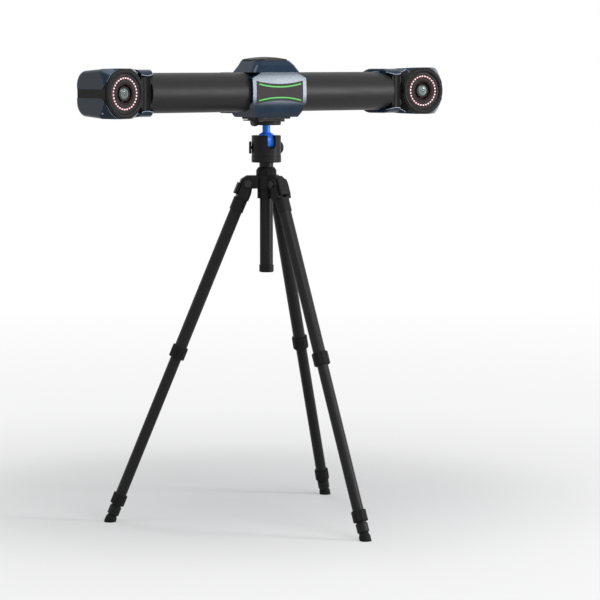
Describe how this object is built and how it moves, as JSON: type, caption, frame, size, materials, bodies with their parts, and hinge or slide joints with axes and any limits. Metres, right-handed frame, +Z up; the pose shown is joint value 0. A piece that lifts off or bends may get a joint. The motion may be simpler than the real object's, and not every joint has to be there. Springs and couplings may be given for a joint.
{
  "type": "three-dimensional scanner",
  "caption": "Optical tracking scanner: a long bar with a camera pod at each end and a central housing, carried on a ball head and a folding tripod.",
  "frame": {"origin": "on the stand's axis at floor level", "axes": "+Z up, the bar lies along X, the cameras look toward -Y"},
  "size_m": [1.114, 0.6637, 1.2363],
  "materials": {
    "shell_gloss": "gloss",
    "pod_black": "gloss",
    "tube_satin": "satin",
    "cap_dark": "satin",
    "label_face": "matte",
    "green_light": "gloss",
    "lamp_plate": "matte",
    "lamp": "gloss",
    "barrel_black": "matte",
    "lens_glass": "polished",
    "board_green": "matte",
    "plate_black": "satin",
    "stand_black": "satin",
    "stand_tube": "satin",
    "grip_rubber": "matte",
    "stand_plastic": "satin",
    "blue_anodised": "gloss",
    "bolt_steel": "satin"
  },
  "bodies": {
    "crown": {"crown": "stand_black", "leg_pivot_bolts": "bolt_steel"},
    "column_collar": {"column_collar": "grip_rubber"},
    "column": {"centre_column": "stand_tube", "column_cap": "stand_plastic", "pan_base": "stand_black"},
    "head": {"head_housing": "stand_black"},
    "ball_lock_knob": {"ball_lock_knob": "stand_plastic"},
    "pan_lock_knob": {"pan_lock_knob": "stand_plastic"},
    "ball_cup": {"ball_cup": "stand_plastic"},
    "ball": {"ball_stem": "blue_anodised", "clamp_body": "plate_black"},
    "clamp_jaw": {"clamp_jaw": "plate_black"},
    "clamp_knob": {"clamp_knob": "stand_plastic"},
    "tracker": {"quick_release_plate": "plate_black", "base_plate": "plate_black", "bar_tube": "tube_satin", "front_shell": "shell_gloss", "rear_shell": "shell_gloss", "label_plate": "label_face", "status_lights": "green_light", "top_housing": "shell_gloss", "top_cap": "cap_dark", "connector_box": "cap_dark", "right_pod_core": "pod_black", "left_pod_core": "pod_black", "right_pod_upper_shell": "shell_gloss", "right_pod_lower_shell": "shell_gloss", "left_pod_upper_shell": "shell_gloss", "left_pod_lower_shell": "shell_gloss", "camera_bezels": "pod_black", "led_plates": "lamp_plate", "infrared_leds": "lamp", "lens_barrels": "barrel_black", "lens_glasses": "lens_glass", "circuit_boards": "board_green"},
    "front_leg": {"front_leg_top": "stand_black", "front_upper_tube": "stand_tube"},
    "front_latch": {"front_angle_latch": "stand_plastic"},
    "front_upper_lock": {"front_upper_lock": "grip_rubber"},
    "front_middle": {"front_middle_tube": "stand_tube"},
    "front_lower_lock": {"front_lower_lock": "grip_rubber"},
    "front_lower": {"front_lower_tube": "stand_tube", "front_foot": "grip_rubber"},
    "right_rear_leg": {"right_rear_leg_top": "stand_black", "right_rear_upper_tube": "stand_tube"},
    "right_rear_latch": {"right_rear_angle_latch": "stand_plastic"},
    "right_rear_upper_lock": {"right_rear_upper_lock": "grip_rubber"},
    "right_rear_middle": {"right_rear_middle_tube": "stand_tube"},
    "right_rear_lower_lock": {"right_rear_lower_lock": "grip_rubber"},
    "right_rear_lower": {"right_rear_lower_tube": "stand_tube", "right_rear_foot": "grip_rubber"},
    "left_rear_leg": {"left_rear_leg_top": "stand_black", "left_rear_upper_tube": "stand_tube"},
    "left_rear_latch": {"left_rear_angle_latch": "stand_plastic"},
    "left_rear_upper_lock": {"left_rear_upper_lock": "grip_rubber"},
    "left_rear_middle": {"left_rear_middle_tube": "stand_tube"},
    "left_rear_lower_lock": {"left_rear_lower_lock": "grip_rubber"},
    "left_rear_lower": {"left_rear_lower_tube": "stand_tube", "left_rear_foot": "grip_rubber"}
  },
  "joints": [
    {"name": "column_slide", "type": "slide", "parent": "crown", "child": "column", "axis": [0, 0, 1], "range_m": [0, 0.175]},
    {"name": "column_collar_twist", "type": "hinge", "parent": "crown", "child": "column_collar", "pos_m": [0, 0, 0.93277], "axis": [0, 0, 1], "range_deg": [0, 90]},
    {"name": "head_pan", "type": "hinge", "parent": "column", "child": "head", "pos_m": [0, 0, 1.00997], "axis": [0, 0, 1], "continuous": true},
    {"name": "ball_lock_knob_twist", "type": "hinge", "parent": "head", "child": "ball_lock_knob", "pos_m": [-0.034, 0.0255, 0.99647], "axis": [-0.8, 0.6, 0], "range_deg": [0, 270]},
    {"name": "pan_lock_knob_twist", "type": "hinge", "parent": "head", "child": "pan_lock_knob", "pos_m": [0.04406, 0.00627, 0.99537], "axis": [0.99, 0.1409, 0], "range_deg": [0, 270]},
    {"name": "side_tilt", "type": "hinge", "parent": "head", "child": "ball_cup", "pos_m": [0, 0, 1.00997], "axis": [-0.2419, -0.9703, 0], "range_deg": [-20, 20]},
    {"name": "front_tilt", "type": "hinge", "parent": "ball_cup", "child": "ball", "pos_m": [0, 0, 1.00997], "axis": [0.9703, -0.2419, 0], "range_deg": [-20, 90]},
    {"name": "clamp_jaw_slide", "type": "slide", "parent": "ball", "child": "clamp_jaw", "axis": [0, 1, 0], "range_m": [0, 0.006]},
    {"name": "clamp_knob_turn", "type": "hinge", "parent": "clamp_jaw", "child": "clamp_knob", "pos_m": [0, 0.052, 1.06247], "axis": [0, 1, 0], "range_deg": [0, 2160]},
    {"name": "tracker_slide", "type": "slide", "parent": "ball", "child": "tracker", "axis": [1, 0, 0], "range_m": [-0.015, 0.015]},
    {"name": "front_leg_fold", "type": "hinge", "parent": "crown", "child": "front_leg", "pos_m": [0, -0.052, 0.90077], "axis": [1, 0, 0], "range_deg": [0, 22.36]},
    {"name": "front_latch_slide", "type": "slide", "parent": "front_leg", "child": "front_latch", "axis": [0, -0.3804, -0.9248], "range_m": [0, 0.006]},
    {"name": "front_upper_lock_twist", "type": "hinge", "parent": "front_leg", "child": "front_upper_lock", "pos_m": [0, -0.23613, 0.45316], "axis": [0, -0.3804, -0.9248], "range_deg": [0, 90]},
    {"name": "front_middle_slide", "type": "slide", "parent": "front_leg", "child": "front_middle", "axis": [0, 0.3804, 0.9248], "range_m": [0, 0.365]},
    {"name": "front_lower_lock_twist", "type": "hinge", "parent": "front_middle", "child": "front_lower_lock", "pos_m": [0, -0.39743, 0.06104], "axis": [0, -0.3804, -0.9248], "range_deg": [0, 90]},
    {"name": "front_lower_slide", "type": "slide", "parent": "front_middle", "child": "front_lower", "axis": [0, -0.3804, -0.9248], "range_m": [0, 0.28]},
    {"name": "right_rear_leg_fold", "type": "hinge", "parent": "crown", "child": "right_rear_leg", "pos_m": [0.04503, 0.026, 0.90077], "axis": [-0.5, 0.866, 0], "range_deg": [0, 22.36]},
    {"name": "right_rear_latch_slide", "type": "slide", "parent": "right_rear_leg", "child": "right_rear_latch", "axis": [0.3295, 0.1902, -0.9248], "range_m": [0, 0.006]},
    {"name": "right_rear_upper_lock_twist", "type": "hinge", "parent": "right_rear_leg", "child": "right_rear_upper_lock", "pos_m": [0.20449, 0.11806, 0.45316], "axis": [0.3295, 0.1902, -0.9248], "range_deg": [0, 90]},
    {"name": "right_rear_middle_slide", "type": "slide", "parent": "right_rear_leg", "child": "right_rear_middle", "axis": [-0.3295, -0.1902, 0.9248], "range_m": [0, 0.365]},
    {"name": "right_rear_lower_lock_twist", "type": "hinge", "parent": "right_rear_middle", "child": "right_rear_lower_lock", "pos_m": [0.34418, 0.19871, 0.06104], "axis": [0.3295, 0.1902, -0.9248], "range_deg": [0, 90]},
    {"name": "right_rear_lower_slide", "type": "slide", "parent": "right_rear_middle", "child": "right_rear_lower", "axis": [0.3295, 0.1902, -0.9248], "range_m": [0, 0.28]},
    {"name": "left_rear_leg_fold", "type": "hinge", "parent": "crown", "child": "left_rear_leg", "pos_m": [-0.04503, 0.026, 0.90077], "axis": [-0.5, -0.866, 0], "range_deg": [0, 22.36]},
    {"name": "left_rear_latch_slide", "type": "slide", "parent": "left_rear_leg", "child": "left_rear_latch", "axis": [-0.3295, 0.1902, -0.9248], "range_m": [0, 0.006]},
    {"name": "left_rear_upper_lock_twist", "type": "hinge", "parent": "left_rear_leg", "child": "left_rear_upper_lock", "pos_m": [-0.20449, 0.11806, 0.45316], "axis": [-0.3295, 0.1902, -0.9248], "range_deg": [0, 90]},
    {"name": "left_rear_middle_slide", "type": "slide", "parent": "left_rear_leg", "child": "left_rear_middle", "axis": [0.3295, -0.1902, 0.9248], "range_m": [0, 0.365]},
    {"name": "left_rear_lower_lock_twist", "type": "hinge", "parent": "left_rear_middle", "child": "left_rear_lower_lock", "pos_m": [-0.34418, 0.19871, 0.06104], "axis": [-0.3295, 0.1902, -0.9248], "range_deg": [0, 90]},
    {"name": "left_rear_lower_slide", "type": "slide", "parent": "left_rear_middle", "child": "left_rear_lower", "axis": [-0.3295, 0.1902, -0.9248], "range_m": [0, 0.28]}
  ],
  "couplings": [
    {"joint": "clamp_knob_turn", "follows": "clamp_jaw_slide", "rad_per_m": 6283.1}
  ]
}
